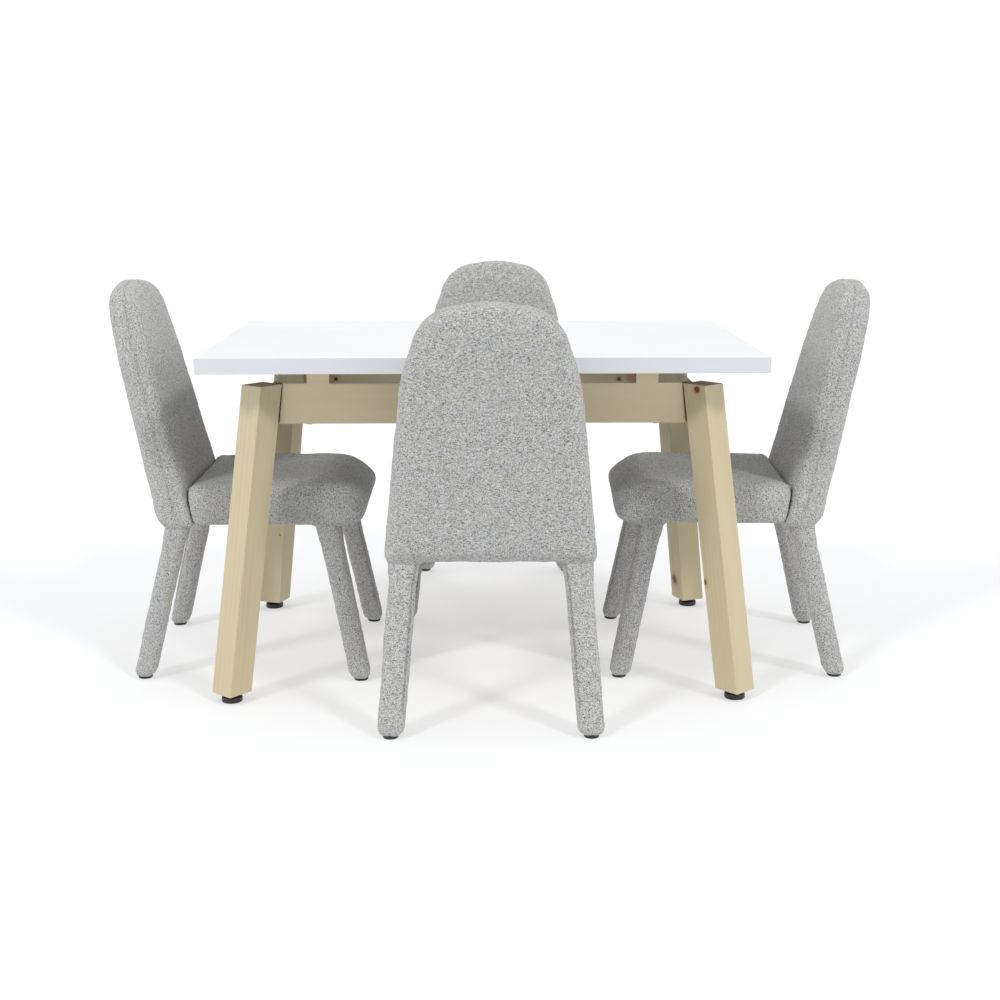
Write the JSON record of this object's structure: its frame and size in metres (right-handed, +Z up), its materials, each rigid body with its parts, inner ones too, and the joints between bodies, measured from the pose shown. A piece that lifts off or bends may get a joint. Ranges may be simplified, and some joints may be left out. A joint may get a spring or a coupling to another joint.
{
  "type": "kids table and chairs",
  "caption": "Children's rectangular table with a white top on splayed square wooden legs, and matching fully upholstered boucle chairs pushed in around it.",
  "frame": {"origin": "centre of the whole set on the floor; the middle of the table is 17 mm to the left and 52 mm nearer than it, because the chairs are not all pushed in equally", "axes": "+X along the table's long side to the right, +Y away from the near chair towards the far chair, +Z up"},
  "size_m": [1.2929, 1.0774, 0.6704],
  "materials": {
    "laminate": "white satin laminate",
    "pine": "clear matt lacquer on pale pine",
    "hardwood": "planed hardwood",
    "plywood": "birch plywood",
    "boucle": "light grey looped boucle",
    "black_plastic": "black moulded plastic",
    "zinc_steel": "zinc plated steel"
  },
  "bodies": {
    "table": {"back_apron": "pine", "corner_block_back_left": "hardwood", "corner_block_back_right": "hardwood", "corner_block_front_left": "hardwood", "corner_block_front_right": "hardwood", "corner_bolts": "zinc_steel", "front_apron": "pine", "glide_sleeves": "zinc_steel", "left_apron": "pine", "leg_back_left": "pine", "leg_back_right": "pine", "leg_front_left": "pine", "leg_front_right": "pine", "right_apron": "pine", "table_top": "laminate", "top_screws": "zinc_steel"},
    "near_chair": {"near_chair_back": "boucle", "near_chair_deck": "plywood", "near_chair_foot_slips": "black_plastic", "near_chair_front_left_leg": "boucle", "near_chair_front_right_leg": "boucle", "near_chair_leg_studs": "zinc_steel", "near_chair_rear_left_leg": "boucle", "near_chair_rear_right_leg": "boucle", "near_chair_seat": "boucle"},
    "left_chair": {"left_chair_back": "boucle", "left_chair_deck": "plywood", "left_chair_foot_slips": "black_plastic", "left_chair_front_left_leg": "boucle", "left_chair_front_right_leg": "boucle", "left_chair_leg_studs": "zinc_steel", "left_chair_rear_left_leg": "boucle", "left_chair_rear_right_leg": "boucle", "left_chair_seat": "boucle"},
    "right_chair": {"right_chair_back": "boucle", "right_chair_deck": "plywood", "right_chair_foot_slips": "black_plastic", "right_chair_front_left_leg": "boucle", "right_chair_front_right_leg": "boucle", "right_chair_leg_studs": "zinc_steel", "right_chair_rear_left_leg": "boucle", "right_chair_rear_right_leg": "boucle", "right_chair_seat": "boucle"},
    "far_chair": {"far_chair_back": "boucle", "far_chair_deck": "plywood", "far_chair_foot_slips": "black_plastic", "far_chair_front_left_leg": "boucle", "far_chair_front_right_leg": "boucle", "far_chair_leg_studs": "zinc_steel", "far_chair_rear_left_leg": "boucle", "far_chair_rear_right_leg": "boucle", "far_chair_seat": "boucle"},
    "glide_front_left": {"glide_front_left": "black_plastic"},
    "glide_front_right": {"glide_front_right": "black_plastic"},
    "glide_back_left": {"glide_back_left": "black_plastic"},
    "glide_back_right": {"glide_back_right": "black_plastic"}
  },
  "joints": [
    {"name": "near_chair_slide", "type": "slide", "parent": "table", "child": "near_chair", "axis": [-0.0105, -0.9999, 0], "range_m": [0, 0.3]},
    {"name": "left_chair_slide", "type": "slide", "parent": "table", "child": "left_chair", "axis": [-1, 0.0035, 0], "range_m": [0, 0.3]},
    {"name": "right_chair_slide", "type": "slide", "parent": "table", "child": "right_chair", "axis": [0.9986, -0.0523, 0], "range_m": [0, 0.3]},
    {"name": "far_chair_slide", "type": "slide", "parent": "table", "child": "far_chair", "axis": [0.0279, 0.9996, 0], "range_m": [0, 0.3]},
    {"name": "glide_front_left_screw", "type": "slide", "parent": "table", "child": "glide_front_left", "axis": [0, 0, -1], "range_m": [0, 0.01]},
    {"name": "glide_front_right_screw", "type": "slide", "parent": "table", "child": "glide_front_right", "axis": [0, 0, -1], "range_m": [0, 0.01]},
    {"name": "glide_back_left_screw", "type": "slide", "parent": "table", "child": "glide_back_left", "axis": [0, 0, -1], "range_m": [0, 0.01]},
    {"name": "glide_back_right_screw", "type": "slide", "parent": "table", "child": "glide_back_right", "axis": [0, 0, -1], "range_m": [0, 0.01]}
  ]
}
